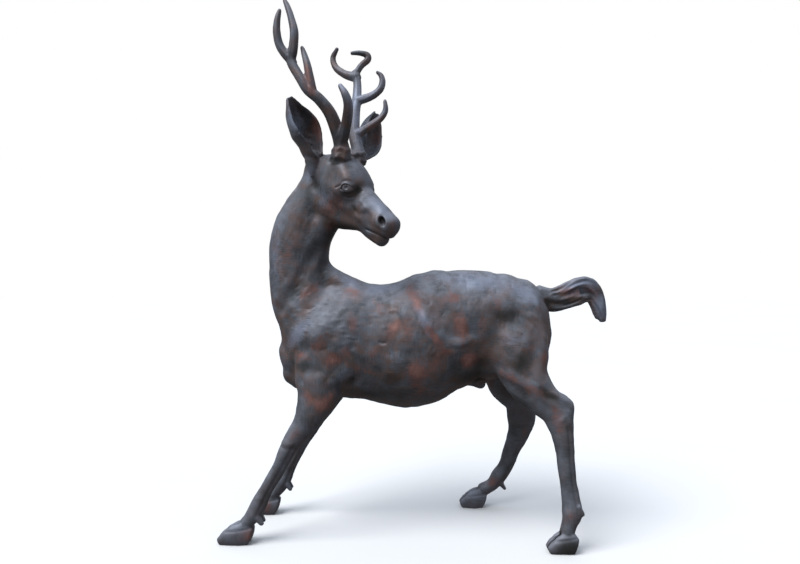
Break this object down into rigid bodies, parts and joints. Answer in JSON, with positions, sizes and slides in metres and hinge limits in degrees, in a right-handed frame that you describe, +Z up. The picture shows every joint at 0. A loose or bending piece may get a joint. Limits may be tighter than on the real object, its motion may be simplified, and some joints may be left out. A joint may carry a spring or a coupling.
{
  "type": "stag statue",
  "caption": "Life-size stag standing braced on its four hooves, head turned back over its shoulder, ears up and tail raised, cast in iron with branching antlers.",
  "frame": {"origin": "on the ground, under the middle of the statue's bounding box", "axes": "+Z up, +X towards the tail, so the breast faces -X, and -Y out of the left flank, the side the head is turned to"},
  "size_m": [1.5422, 0.5486, 2.0877],
  "materials": {
    "cast_iron": "dark satin, rubbed reddish brown in places"
  },
  "bodies": {
    "root": {"stag": "cast_iron"}
  },
  "joints": []
}
